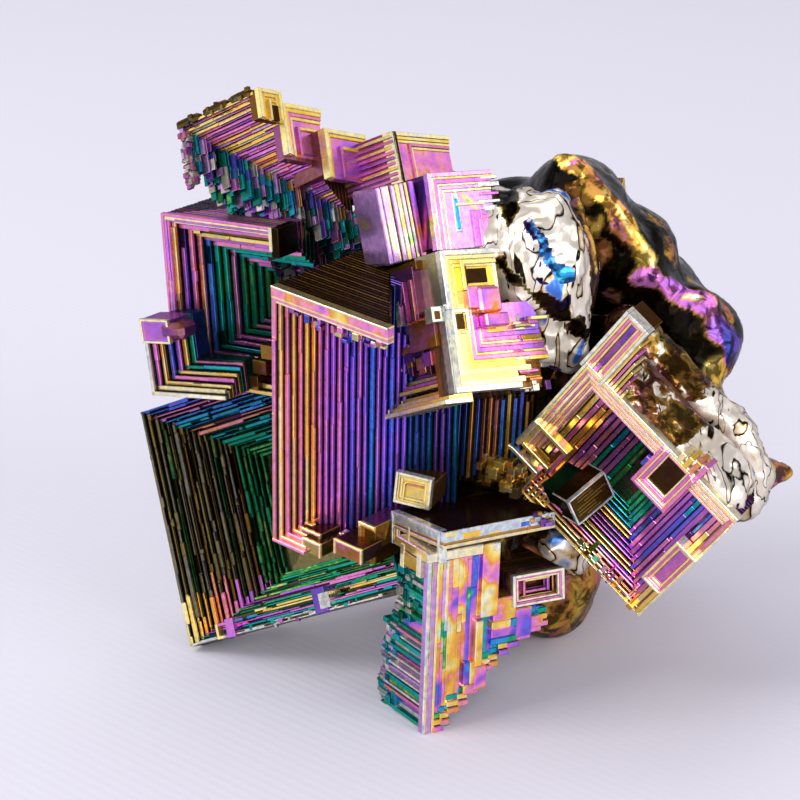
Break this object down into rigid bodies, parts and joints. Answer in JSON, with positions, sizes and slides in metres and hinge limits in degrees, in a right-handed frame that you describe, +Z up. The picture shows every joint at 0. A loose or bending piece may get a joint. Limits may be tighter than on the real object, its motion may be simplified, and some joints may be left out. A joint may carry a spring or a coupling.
{
  "type": "bismuth crystal cluster",
  "caption": "Cluster of stepped, cuboid bismuth hopper crystals with iridescent faces, grown together on a lump of solidified metal.",
  "frame": {"origin": "centre of the cluster's box at the ground it stands on", "axes": "+Z up as the cluster rests on its three corners, the front with the large ribbed pits towards -Y, +X to its right"},
  "size_m": [0.079, 0.0619, 0.07],
  "materials": {
    "oxidised_bismuth": "iridescent oxide film on silvery metal, gold, magenta, violet, blue and green"
  },
  "bodies": {
    "root": {"bismuth_hopper_crystal": "oxidised_bismuth"}
  },
  "joints": []
}
